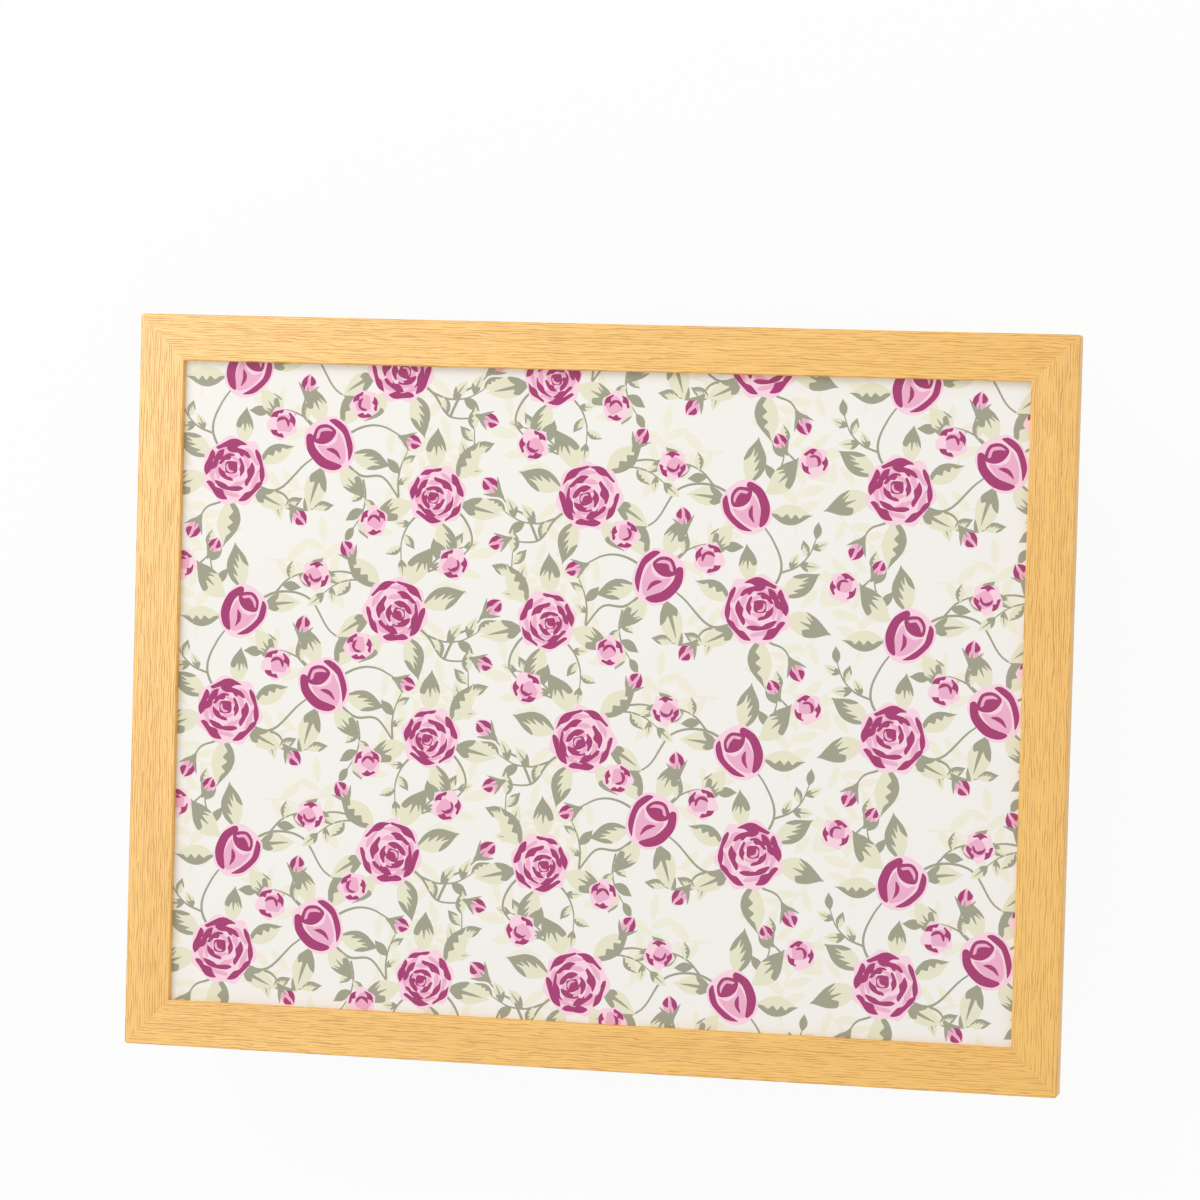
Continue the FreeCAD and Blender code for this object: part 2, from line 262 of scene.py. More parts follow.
# %% [markdown]
# ## Oak-look foil
#
# The rails are fibreboard mouldings wrapped in a printed foil: fine dark pores along each rail, broken into
# dashes, over soft lighter and darker bands. Real oak would need rings and rays. A foil repeats one flat
# print, so stretched noise and a bent wave are enough. One node group draws it along X, and a Mapping node
# turns it for the two short rails, so that the grain meets at the mitres. The foil leaves the underside
# bare, and there the fibreboard shows.

# %% Oak grain and fibreboard, as node groups
def new_grain(name):
    """A group that takes a place and two inks, and gives a colour and a height."""
    inputs = {"Vector": "Vector", "Light": "Color", "Dark": "Color"}
    return new_group(name, inputs, {"Color": "Color", "Height": "Float"})


def give_grain(tree, given, made, shade, height):
    """Ends such a group: its shade mixes the two inks."""
    colour = blend_ink(tree, shade, given.outputs["Light"], given.outputs["Dark"])
    tree.links.new(colour, made.inputs["Color"])
    tree.links.new(height, made.inputs["Height"])
    return tree


def oak_group():
    """Soft bands, and pores that break into dashes, along X."""
    tree, given, made = new_grain("oak_grain")

    def stretched(along, across, slant=0.0):
        lie = {"Scale": (along, across, across), "Rotation": (slant, 0, 0)}
        return put(tree, "Mapping", {"Vector": given.outputs["Vector"], **lie}).outputs[0]

    bands = rise(tree, noise(tree, stretched(5, 120), 1.0, 2, 0.4), 0.36, 0.66)
    breaks = rise(tree, noise(tree, stretched(70, 900), 1.0, 2, 0.3), 0.38, 0.62)
    slanted = stretched(64, 370, math.pi / 4)
    bent = {"Vector": slanted, "Scale": 1.0, "Distortion": 7.0, "Detail": 2, "Detail Scale": 1.0}
    pores = rise(tree, put(tree, "TexWave", bent, bands_direction="Y").outputs["Fac"], 0.48, 0.95)
    dashes = scaled(tree, pores, scaled(tree, breaks, 0.75, 0.25))
    shade = scaled(tree, dashes, 0.75, scaled(tree, bands, 0.12))
    return give_grain(tree, given, made, shade, reckon(tree, "SUBTRACT", 1.0, dashes))


def fibre_group():
    """Pressed fibreboard: fine pale and dark fibres with soft blotches."""
    tree, given, made = new_grain("fibreboard")
    fine = noise(tree, given.outputs["Vector"], 1400, 3, 1.5)
    blotch = scaled(tree, noise(tree, given.outputs["Vector"], 45, 2), 0.4)
    shade = scaled(tree, rise(tree, fine, 0.35, 0.7), 0.65, blotch)
    return give_grain(tree, given, made, shade, fine)


oak_grain = oak_group()
fibreboard = fibre_group()
bare_light, bare_dark = ink(203, 170, 128), ink(158, 122, 84)
print("groups:", oak_grain.name, fibreboard.name)

# %% Dress a CAD node in a finish
def dress(finish, *nodes):
    for node in nodes:
        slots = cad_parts[node].data.materials
        slots.clear()
        slots.append(finish)


def foil_finish(name, grain_turn):
    """Satin foil on top and at the sides, bare board where the surface faces down."""
    foil_roughness, bare_roughness = 0.4, 0.8
    finish, tree, shader = new_finish(name, Specular_IOR_Level=0.6)
    place = put(tree, "TexCoord").outputs
    turned_spot = put(tree, "Mapping", {"Vector": place["Object"], "Rotation": (0, 0, grain_turn)})
    inks = {"Light": ink(245, 193, 99), "Dark": ink(202, 137, 53)}
    oak = use(tree, oak_grain, {"Vector": turned_spot.outputs[0], **inks})
    bare = use(tree, fibreboard, {"Vector": place["Object"], "Light": bare_light, "Dark": bare_dark})
    facing = put(tree, "SeparateXYZ", {0: place["Normal"]}).outputs
    below = rise(tree, scaled(tree, facing["Z"], -1.0), 0.6, 0.9)
    paint(tree, shader, below, oak["Color"], bare["Color"])
    rough = scaled(tree, below, bare_roughness - foil_roughness, foil_roughness)
    tree.links.new(rough, shader.inputs["Roughness"])
    bump(tree, shader, oak["Height"], 0.08 * MM)
    return finish


print("nodes to dress:", len(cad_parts))

# %% [markdown]
# ## Rails
#
# The four rails are lengths of one moulding with mitred ends: a flat face with eased edges, a lip over the
# sheet and a rebate for the board. The CAD rails have this shape in plain facets. Here each rail is a row
# of sections that are bridged, from the middle of one rounded corner to the middle of the next, so that the
# roundings are smooth.

# %% A new piece from a bmesh
def piece_of(bm, name, body, slot, finish, *replaced):
    """Makes a bmesh a piece that rides on a body, wears a finish and may stand for CAD nodes."""
    piece = object_of(bm, name)
    piece.data.materials.append(finish)
    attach(piece, body)
    if replaced:
        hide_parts(*replaced)
    return piece


def shade_smooth(bm, sharp_from):
    """Smooth faces, with a crease where two of them meet at more than an angle in degrees."""
    for face in bm.faces:
        face.smooth = True
    for edge in bm.edges:
        edge.smooth = edge.calc_face_angle(0) < math.radians(sharp_from)


# %% Sections of the moulding
front_low, front_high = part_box("frame_rail_front")
sheet_low, sheet_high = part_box("print_sheet")
half_long, half_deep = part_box("frame_rail_right")[1].x, -front_low.y
rail_face = front_high.y - front_low.y
board_play = 0.4 * MM
rail_leg = half_long - sheet_high.x - board_play
outer_edge, inner_edge, corner_round = 0.6 * MM, 0.8 * MM, 1.6 * MM
nails_proud = 0.15 * MM
edge_points, corner_sections = 6, 5
weld = 0.001 * MM


def moulding_section():
    """Points of the rail's section: how far in from the outer side, and how high."""
    top, underside = front_high.z, front_low.z + nails_proud
    points = [(0, underside), (rail_leg, underside), (rail_leg, sheet_high.z), (rail_face, sheet_high.z)]
    for radius, inward, start in ((inner_edge, rail_face - inner_edge, 0), (outer_edge, outer_edge, 90)):
        for angle in np.radians(np.linspace(start, start + 90, edge_points)):
            points.append((inward + radius * math.cos(angle), top - radius + radius * math.sin(angle)))
    return points


def section_at(corner_x, corner_y, angle):
    """The section as it passes round one of the frame's corners, at an angle about the corner's rounding."""
    spots = []
    for inward, height in moulding_section():
        from_corner = max(corner_round, inward)
        reach = from_corner - inward
        x = half_long - from_corner + reach * abs(math.cos(math.radians(angle)))
        y = half_deep - from_corner + reach * abs(math.sin(math.radians(angle)))
        spots.append((corner_x * x, corner_y * y, height))
    return spots


print("the moulding's section has", len(moulding_section()), "points")

# %% Four mitred rails
def rail_mesh(first_corner, second_corner, end_angle):
    """A rail from mitre to mitre; its side of a corner runs from 45 degrees to an end angle of 0 or 90."""
    bm = bmesh.new()
    turns = np.linspace(45, end_angle, corner_sections)
    sections = [section_at(*first_corner, angle) for angle in turns]
    sections += [section_at(*second_corner, angle) for angle in turns[::-1]]
    loops = []
    for section in sections:
        corners = [bm.verts.new(spot) for spot in section]
        loops.append([bm.edges.new((corners[k - 1], corners[k])) for k in range(len(corners))])
    for near, far in zip(loops, loops[1:]):
        bmesh.ops.bridge_loops(bm, edges=near + far)
    for end in (loops[0], loops[-1]):
        bmesh.ops.edgeloop_fill(bm, edges=end)
    bmesh.ops.remove_doubles(bm, verts=bm.verts, dist=weld)
    bmesh.ops.recalc_face_normals(bm, faces=bm.faces)
    shade_smooth(bm, sharp_from=40)
    return bm


long_foil = foil_finish("oak_foil_long", 0.0)
short_foil = foil_finish("oak_foil_short", math.pi / 2)
rail_ends = {
    "front": ((-1, -1), (1, -1), 90, long_foil), "rear": ((1, 1), (-1, 1), 90, long_foil),
    "right": ((1, -1), (1, 1), 0, short_foil), "left": ((-1, 1), (-1, -1), 0, short_foil),
}
for side, (first_corner, second_corner, end_angle, foil) in rail_ends.items():
    bm = rail_mesh(first_corner, second_corner, end_angle)
    rail = piece_of(bm, f"oak_rail_{side}", "tray", "oak_foil", foil, f"frame_rail_{side}")
    even_shading = rail.modifiers.new("even_shading", "WEIGHTED_NORMAL")
    even_shading.keep_sharp = True
    print(rail.name, "has", len(rail.data.polygons), "faces")

# %% [markdown]
# ## The print
#
# The sheet is a chintz of roses in six inks. A picture file would be the usual way, but this script reads
# none, and shader noise can't draw a rose. So each motif is a few outlines: points on the complex plane,
# where one product turns and scales a shape, joined by smooth curves. One repeat is listed, every
# other column of it is mirrored and dropped by half, and a constrained triangulation cuts the sheet along
# all the outlines. Many of them lie under others, so a second cut keeps only the lines where two inks meet,
# and has fewer triangles.

# %% Lines for the motifs
draw = random.Random(7)


def turned(angle):
    return cmath.rect(1, math.radians(angle))


def through(points, steps, closed=True):
    """A smooth line through a few points, as a Catmull-Rom curve."""
    line, count = [], len(points)
    for k in range(count if closed else count - 1):
        four = range(k - 1, k + 3)
        a, b, c, d = (points[j % count if closed else min(max(j, 0), count - 1)] for j in four)
        for t in (s / steps for s in range(steps)):
            bend = (2 * a - 5 * b + 4 * c - d) * t + (3 * b - a - 3 * c + d) * t * t
            line.append(b + t * (c - a + bend) / 2)
    return line if closed else line + [points[-1]]


def thinned(line, slack=0.05):
    """The same closed line without the points that lie on the way between their neighbours."""
    kept, skipped = [line[0]], []
    for k in range(1, len(line)):
        skipped.append(line[k] - kept[-1])
        way = line[(k + 1) % len(line)] - kept[-1]
        if max(abs((step * way.conjugate()).imag) for step in skipped) > slack * abs(way):
            kept.append(line[k])
            skipped = []
    return kept


def motif(strokes, place, size, turn, bend=0.0):
    """Outlines given in shares of the motif's size, bent to one side, turned and put in their place."""
    lay = size * turned(turn)
    return [(colour, through([place + lay * complex(x, y + bend * x * x) for x, y in shares], steps=6))
            for colour, shares in strokes]


print("a quarter turn is", turned(90))

# %% Petals and open roses
def blot(centre, radius, lobes, depth):
    """A round blot with soft lobes, each a little off its even place."""
    least, sway = 0.4, 8
    start = draw.uniform(0, 360)
    tips = []
    for k in range(2 * lobes):
        reach = radius * (1 + depth * (1 if k % 2 else -1) * draw.uniform(least, 1))
        tips.append(centre + reach * turned(start + 180 * k / lobes + draw.uniform(-sway, sway)))
    return through(tips, steps=5)


def brush_arc(centre, radius, middle, spread, thick, ripple):
    """A petal's edge in one brush stroke: an arc with round ends and a rippled inner side."""
    taper, wobble, tuck = 0.6, 0.03, 0.1
    outside, inside = [], []
    start, steps = draw.uniform(0, 6), 6
    for k in range(steps + 1):
        t = 2 * k / steps - 1
        way = radius * turned(middle + spread * t)
        depth = thick * (1 - taper * t * t) * (1 + ripple * math.cos(5 * t + start))
        outside.append(centre + way * (1 + wobble * math.cos(4 * t + start) - tuck * thick * t * t))
        inside.append(centre + way * (1 - depth))
    return through(outside + inside[::-1], steps=4)


def open_rose(place, size, turn):
    """A full rose from the front, in shares of its size: rings of petals round a heart off its centre."""
    heart_way, ring_turn, sway = 115, 47, 10
    shapes = [("blush", blot(place, 1.05 * size, 7, 0.08))]
    # the reach, petals, spread, thickness and lean of each ring
    rings = ((0.97, 5, 31, 0.20, 0.0), (0.70, 4, 39, 0.28, 0.08), (0.43, 3, 52, 0.42, 0.15))
    for ring, (reach, petals, spread, thick, lean) in enumerate(rings):
        heart = place + lean * size * turned(turn + heart_way)
        edge = reach * size
        for k in range(petals):
            middle = turn + ring_turn * ring + 360 * k / petals + draw.uniform(-sway, sway)
            wide, deep = spread * draw.uniform(0.8, 1.1), thick * draw.uniform(0.8, 1.35)
            fold = brush_arc(heart, 0.84 * edge, middle + 0.9 * spread, 0.8 * spread, thick, 0.1)
            shapes += [("pink", fold), ("deep", brush_arc(heart, edge, middle, wide, deep, 0.2))]
    shapes.append(("deep", blot(heart, 0.22 * size, 4, 0.1)))
    return shapes + [("pink", brush_arc(heart, 0.17 * size, turn + 200, 80, 0.5, 0.1))]


def small_rose(place, size, turn):
    """A half-open rose: three petals round a curled heart."""
    petals, sway = 3, 14
    shapes = [("blush", blot(place, size, 5, 0.12))]
    shapes.append(("pink", blot(place + 0.2 * size * turned(turn), 0.6 * size, 4, 0.12)))
    for k in range(petals):
        middle = turn + 360 * k / petals + draw.uniform(-sway, sway)
        shapes.append(("deep", brush_arc(place, 0.9 * size, middle, 34, 0.36, 0.3)))
    heart = place + 0.05 * size * turned(turn)
    return shapes + [("deep", brush_arc(heart, 0.46 * size, turn + 60, 95, 0.5, 0.2))]


print("an open rose has", len(open_rose(0, 1, 0)), "strokes")

# %% Cup roses and buds, in shares of their size
cup_shares = (
    ("blush", ((-0.86, 0.30), (-0.62, 0.86), (0, 1.02), (0.66, 0.84), (0.92, 0.22), (0.72, -0.62), (0.1, -1),
               (-0.62, -0.72))),
    ("pink", ((-0.42, 0.24), (-0.10, 0.04), (0.26, 0.04), (0.50, 0.28), (0.44, -0.36), (0.08, -0.80),
              (-0.32, -0.40))),
    ("deep", ((-0.82, 0.34), (-0.60, 0.76), (-0.40, 0.66), (-0.52, 0.20), (-0.36, -0.34), (0.02, -0.82),
              (-0.30, -0.84), (-0.66, -0.52), (-0.82, -0.08))),
    ("deep", ((0.40, 0.82), (0.66, 0.72), (0.84, 0.24), (0.70, -0.46), (0.34, -0.80), (0.50, -0.40),
              (0.62, 0.12), (0.52, 0.50))),
    ("deep", ((-0.46, 0.56), (-0.10, 0.84), (0.28, 0.72), (0.44, 0.36), (0.16, 0.16), (-0.16, 0.16),
              (-0.42, 0.34))),
    ("pink", ((-0.34, 0.50), (-0.08, 0.72), (0.22, 0.62), (0.32, 0.42), (0.14, 0.54), (-0.08, 0.60),
              (-0.24, 0.46))),
    ("deep", ((-0.20, -0.02), (0.02, -0.10), (0.14, -0.32), (0.10, -0.60), (0.00, -0.34), (-0.12, -0.16))),
)
bud_shares = (
    ("blush", ((-0.1, 0), (0.25, 0.46), (0.80, 0.44), (1.18, 0.05), (0.86, -0.40), (0.28, -0.44))),
    ("pink", ((0.1, -0.05), (0.40, 0.22), (0.86, 0.16), (1.0, -0.12), (0.62, -0.34), (0.26, -0.30))),
    ("deep", ((0.05, 0.10), (0.30, 0.42), (0.78, 0.40), (1.12, 0.08), (0.86, 0.14), (0.60, 0.12),
              (0.34, 0.20))),
    ("deep", ((0.50, -0.12), (0.80, -0.06), (1.08, -0.04), (0.86, -0.34), (0.64, -0.36))),
    ("sage", ((-0.42, 0.06), (-0.12, 0.20), (0.22, 0.44), (0.62, 0.66), (0.30, 0.28), (0.16, 0.08),
              (0.48, 0.02), (0.16, -0.08), (0.30, -0.30), (0.60, -0.62), (0.16, -0.42), (-0.14, -0.18),
              (-0.42, -0.06))),
)


def cup_rose(place, size, turn):
    return motif(cup_shares, place, size, turn)


def bud(place, size, turn):
    return motif(bud_shares, place, size, turn)


print("a cup rose has", len(cup_shares), "strokes, a bud", len(bud_shares))

# %% Leaves, stems and twigs
blade_top = ((0, 0), (0.10, 0.10), (0.26, 0.21), (0.46, 0.26), (0.66, 0.22), (0.84, 0.11), (0.95, 0.03),
             (1.02, 0))
blade_low = tuple((x, -0.9 * y) for x, y in blade_top[-2:0:-1])
blade = blade_top + blade_low
dark_shares = {
    "half": blade_top + ((0.80, 0.01), (0.70, 0.09), (0.60, 0), (0.50, 0.10), (0.40, 0), (0.28, 0.08),
                         (0.16, 0.01)),
    "rim": blade_top + blade_low[:4] + ((0.58, -0.11), (0.76, -0.05), (0.58, -0.03), (0.70, 0.04), (0.46, 0),
                                        (0.56, 0.10), (0.30, 0.04), (0.36, 0.13), (0.14, 0.05)),
    "tip": blade_top[3:] + blade_low[:4] + ((0.62, -0.10), (0.46, -0.15), (0.58, -0.03), (0.34, -0.01),
                                            (0.56, 0.06), (0.42, 0.14)),
    "base": blade_top[:4] + ((0.42, 0.14), (0.34, 0.05), (0.60, 0.03), (0.84, 0), (0.60, -0.03),
                             (0.36, -0.05), (0.40, -0.14)) + blade_low[-2:],
    "dark": blade,
}
stalk_width, twig_width = 1.3, 1.0


def leaf(place, length, turn, kind):
    """A leaf from its stalk: a pale blade with a dark part, or a faint slim one in the background."""
    bend = draw.uniform(-0.2, 0.2)
    if kind == "faint":
        return motif([("faint", [(x, 0.75 * y) for x, y in blade[::2]])], place, length, turn, bend)
    return motif([("lime", blade), ("sage", dark_shares[kind])], place, length, turn, bend)


def stem(points, width):
    """A stalk along a few points that thins towards its end."""
    thinning = 0.55
    spine = through(points, steps=7, closed=False)
    left, right = [], []
    for k, spot in enumerate(spine):
        ahead = spine[min(k + 1, len(spine) - 1)] - spine[max(k - 1, 0)]
        side = 1j * ahead / abs(ahead) * width / 2 * (1 - thinning * k / len(spine))
        left.append(spot + side)
        right.append(spot - side)
    return left + right[::-1]


def twig(start, turn, length, curl, leaves, colour):
    """A bent stalk with small leaves on both sides and one at its end."""
    runs, leaf_share, side_turn = 3, 0.38, 50
    nearly_all = runs - 0.01
    spine = [start]
    for k in range(runs):
        spine.append(spine[-1] + length / runs * turned(turn + curl * (k + 0.5) / runs))
    shapes = [(colour, stem(spine, twig_width))]
    for k in range(leaves):
        share = (k + 1) / leaves * nearly_all
        low = int(share)
        spot = spine[low] + (share - low) * (spine[low + 1] - spine[low])
        side = 0 if k == leaves - 1 else (side_turn if k % 2 else -side_turn)
        kind = "faint" if colour == "faint" else draw.choice(("half", "rim", "dark", "base"))
        leaf_long = length * leaf_share * draw.uniform(0.85, 1.15)
        shapes += leaf(spot, leaf_long, turn + curl * share / runs + side, kind)
    return shapes


print("leaf kinds:", sorted(dark_shares))

# %% One repeat, laid out on a grid of 1.1 mm
grid = 1.1
repeat_wide, repeat_tall = 146, 104
# x, y, size, turn
open_roses = ((30, 30, 14, 20), (104, 76, 13.5, 200), (121, 22, 12.2, 100))
cup_roses = ((73, 42, 12, 30), (35, 73, 11.5, -35))
small_roses = ((51, 51, 6.8, 10), (88, 60, 6.4, 140), (129, 97, 6.8, 250), (7, 93, 6.4, 80),
               (93, 10, 6.4, 30), (68, 90, 6.4, 200))
buds = ((14, 8, 7.5, 240), (62, 64, 7.5, 80), (144, 76, 7.8, 40), (57, 14, 7.4, -50), (84, 98, 7.4, 120),
        (106, 46, 7, -20), (20, 98, 6.5, 60), (140, 56, 7, -20))
# the rose that the leaves come out from under, and each leaf's angle, length and kind
rose_leaves = (
    ((30, 30, 12), ((150, 19, "rim"), (196, 21, "tip"), (262, 21, "half"), (318, 17, "base"), (75, 16, "tip"),
                    (20, 17, "half"))),
    ((73, 42, 10), ((62, 21, "half"), (112, 18, "tip"), (-20, 18, "rim"), (250, 20, "base"),
                    (300, 17, "tip"))),
    ((104, 76, 12), ((12, 20, "rim"), (62, 20, "tip"), (128, 20, "half"), (196, 17, "base"), (-66, 19, "rim"),
                     (240, 16, "tip"))),
    ((35, 73, 10), ((92, 20, "rim"), (142, 20, "tip"), (192, 18, "half"), (18, 17, "base"),
                    (-50, 16, "tip"))),
    ((121, 22, 11), ((40, 19, "half"), (96, 18, "tip"), (-18, 19, "base"), (-82, 18, "rim"),
                     (200, 19, "tip"))),
)
# x, y, turn, length, curl, leaves
leafy_twigs = ((46, 20, -50, 22, 70, 5), (88, 28, -70, 22, -60, 5), (20, 46, 170, 22, -70, 5),
               (50, 82, 60, 22, -70, 5), (118, 66, -30, 24, 70, 5), (92, 88, 165, 22, 60, 5),
               (67, 49, 130, 24, 60, 4), (116, 92, 60, 22, -50, 5), (129, 29, 40, 24, 60, 5),
               (27, 80, 130, 22, -40, 4), (104, 21, 100, 20, -40, 4), (113, 14, 220, 22, 60, 4))
# x, y, turn, length, curl
faint_twigs = ((14, 62, 75, 31, 60), (64, 24, 200, 31, -50), (120, 86, 20, 31, 60), (98, 52, -60, 29, 50),
               (46, 96, 10, 31, -60), (138, 30, 110, 29, 50), (80, 80, 130, 27, -40), (4, 20, 300, 27, 50),
               (54, 40, 80, 27, 60), (88, 6, 20, 27, 50), (130, 66, 200, 27, -50), (20, 100, 180, 26, 40))
stalks = (((30, 30), (48, 22), (62, 34), (73, 42)), ((73, 42), (86, 30), (97, 29), (108, 17), (121, 22)),
          ((30, 30), (20, 46), (24, 60), (35, 73)), ((35, 73), (50, 82), (65, 80), (75, 66), (88, 60)),
          ((104, 76), (118, 66), (126, 56), (140, 56)), ((104, 76), (92, 88), (80, 92), (68, 90)),
          ((121, 22), (133, 13), (137, 2), (129, -7)), ((104, 76), (112, 90), (120, 94), (129, 97)),
          ((30, 30), (26, 18), (18, 14), (14, 8)), ((73, 42), (65, 50), (60, 56), (62, 64)),
          ((126, 56), (131, 66), (138, 70), (144, 76)), ((48, 22), (53, 20), (57, 14)),
          ((92, 88), (90, 94), (84, 98)), ((73, 42), (86, 50), (96, 51), (106, 46)),
          ((7, 93), (13, 92), (20, 98)))


def one_repeat():
    """The repeat's outlines in layers, from the back to the front."""
    faint_leaves = 7
    layers = [[], [], [], [], []]
    for x, y, turn, length, curl in faint_twigs:
        layers[0] += twig(complex(x, y), turn, length, curl, faint_leaves, "faint")
    for points in stalks:
        layers[1].append(("sage", stem([complex(*p) for p in points], stalk_width)))
    for x, y, turn, length, curl, leaves in leafy_twigs:
        layers[1] += twig(complex(x, y), turn, length, curl, leaves, "sage")
    for (x, y, rim), blades in rose_leaves:
        for turn, length, kind in blades:
            layers[2] += leaf(complex(x, y) + rim * turned(turn), length, turn + draw.uniform(-12, 12), kind)
    flowers = ((3, bud, buds), (3, small_rose, small_roses), (4, cup_rose, cup_roses),
               (4, open_rose, open_roses))
    for layer, flower, spots in flowers:
        for x, y, size, turn in spots:
            layers[layer] += flower(complex(x, y), size, turn)
    return [[(colour, thinned(line)) for colour, line in layer] for layer in layers]


repeat = one_repeat()
print("one repeat has", sum(len(layer) for layer in repeat), "outlines")

# %% Lay the repeat over the sheet
half_wide, half_tall = sheet_high.x / MM, sheet_high.y / MM
thinnest = 0.2


def placed(line, column, row):
    """One outline of the repeat in its place on the sheet, cut off at the sheet's edges, or None."""
    drop = repeat_tall / 2 if column % 2 else 0
    spots = []
    for spot in line:
        across = repeat_wide - spot.real if column % 2 else spot.real
        x = grid * (across + column * repeat_wide) - half_wide
        y = grid * (spot.imag + row * repeat_tall + drop) - half_tall
        spots.append((min(max(x, -half_wide), half_wide), min(max(y, -half_tall), half_tall)))
    spread = np.ptp(np.array(spots), axis=0)
    return spots if spread.min() > thinnest else None


columns = range(-1, math.ceil(2 * half_wide / grid / repeat_wide) + 1)
rows = range(-2, math.ceil(2 * half_tall / grid / repeat_tall) + 1)
outlines = []
for layer in repeat:
    for column in columns:
        for row in rows:
            for colour, line in layer:
                spots = placed(line, column, row)
                if spots:
                    outlines.append((colour, spots))
print(len(outlines), "outlines on the sheet, with", sum(len(spots) for _, spots in outlines), "points")

# %% Cut the sheet along the outlines
same_point = 0.002


def cut_along(points, edges):
    """Triangles that no edge crosses, as places and corner numbers."""
    cut = delaunay_2d_cdt([Vector(p) for p in points], edges, [], 0, same_point, False)
    return np.array([p[:] for p in cut[0]]), np.array([face[:] for face in cut[2]])


def inks_of(places, triangles):
    """Paints the triangles in the order of the outlines: a middle inside a line takes its ink."""
    middles = places[triangles].mean(axis=1)
    order = np.argsort(middles[:, 0], kind="stable")
    sorted_x = middles[order, 0]
    shown = np.full(len(triangles), "ground", dtype=object)
    for colour, spots in outlines:
        line = np.array(spots)
        first, last = np.searchsorted(sorted_x, (line[:, 0].min(), line[:, 0].max()))
        near = order[first:last]
        y = middles[near, 1]
        near = near[(y > line[:, 1].min()) & (y < line[:, 1].max())]
        x, y = middles[near, 0][:, None], middles[near, 1][:, None]
        x0, y0 = line.T
        x1, y1 = np.roll(line, -1, axis=0).T
        crosses = (y0 > y) != (y1 > y)
        rise_share = (y - y0) / np.where(y1 == y0, 1, y1 - y0)
        inside = (crosses & (x < x0 + rise_share * (x1 - x0))).sum(axis=1) % 2 == 1
        shown[near[inside]] = colour
    return shown


def edges_that_show(triangles, shown):
    """The edges between two inks, and those on the sheet's rim."""
    waiting, between = {}, []
    for triangle, colour in zip(triangles.tolist(), shown):
        for k in range(3):
            edge = tuple(sorted((triangle[k - 1], triangle[k])))
            if edge not in waiting:
                waiting[edge] = colour
            elif waiting.pop(edge) != colour:
                between.append(edge)
    return between + list(waiting)


def four_corners(left, right, low, high):
    return [(left, low), (right, low), (right, high), (left, high)]


points = four_corners(-half_wide, half_wide, -half_tall, half_tall)
edges = [(0, 1), (1, 2), (2, 3), (3, 0)]
for _, spots in outlines:
    first, count = len(points), len(spots)
    points += spots
    edges += [(first + k, first + (k + 1) % count) for k in range(count)]
places, triangles = cut_along(points, edges)
print(len(triangles), "triangles along all outlines")

# %% Cut it again, along the lines that show
edges = edges_that_show(triangles, inks_of(places, triangles))
used = sorted(dict.fromkeys(end for edge in edges for end in edge))
number = {old: new for new, old in enumerate(used)}
places, triangles = cut_along(places[used], [(number[a], number[b]) for a, b in edges])
shown_inks = inks_of(places, triangles)
print(len(triangles), "triangles along those that show")

# %% Build the sheet, with its inks on the face corners
inks = {
    "ground": ink(244, 241, 235), "faint": ink(240, 236, 216), "lime": ink(231, 228, 200),
    "sage": ink(158, 157, 134), "blush": ink(250, 212, 225), "pink": ink(239, 174, 202),
    "deep": ink(164, 36, 106),
}
# where the printed face and the rest of the sheet lie across the chart: a middle, and the reach from it
print_span, back_span = (0.485, 0.485), (0.985, 0.01)


def build_sheet():
    """The cut sheet with its thickness; each face corner has its ink and its place on the chart."""
    bm = bmesh.new()
    tint = bm.loops.layers.float_color.new("ink")
    chart = bm.loops.layers.uv.new("OFBake")

    def mark(face, colour, span):
        for loop in face.loops:
            x, y, _ = loop.vert.co
            loop[tint] = inks[colour]
            loop[chart].uv = (span[0] + span[1] * x / sheet_high.x, (y / sheet_high.y + 1) / 2)

    corners = [bm.verts.new((x * MM, y * MM, sheet_high.z)) for x, y in places]
    for triangle, colour in zip(triangles, shown_inks):
        mark(bm.faces.new([corners[k] for k in triangle]), colour, print_span)
    printed = set(bm.faces)
    walls = bmesh.ops.extrude_edge_only(bm, edges=[edge for edge in bm.edges if edge.is_boundary])["geom"]
    low = [part for part in walls if isinstance(part, bmesh.types.BMVert)]
    bmesh.ops.translate(bm, vec=(0, 0, sheet_low.z - sheet_high.z), verts=low)
    bmesh.ops.edgeloop_fill(bm, edges=[edge for edge in bm.edges if edge.is_boundary])
    bmesh.ops.recalc_face_normals(bm, faces=bm.faces)
    for face in set(bm.faces) - printed:
        mark(face, "ground", back_span)
    return bm


def print_finish():
    """Offset ink under a gloss film: crisp colour, faint film ripple, a clear coat."""
    finish, tree, shader = new_finish("gloss_print", Roughness=0.4, Specular_IOR_Level=0.0, Coat_Weight=1.0,
                                      Coat_Roughness=0.05)
    tint = put(tree, "Attribute", attribute_name="ink").outputs["Color"]
    spot = object_spot(tree)
    fleck = rise(tree, noise(tree, spot, 2600, 1), 0.45, 0.9)
    paint(tree, shader, 0.12, tint, blend_ink(tree, fleck, tint, inks["ground"]))
    bump(tree, shader, noise(tree, spot, 60, 1), 0.012 * MM)
    return finish


print_sheet = piece_of(build_sheet(), "printed_sheet", "tray", "gloss_print", print_finish(), "print_sheet")
print("the sheet's mesh has", len(print_sheet.data.polygons), "faces")

# %% [markdown]
# ## Board and nails
#
# Behind the sheet lies a fibreboard. Steel V-nails close the mitres and flat steel points hold the board.
# The CAD nodes already have these shapes, so they only get finishes: the board takes the group of the bare
# undersides, and the steel is a metal whose roughness follows fine brushed marks.

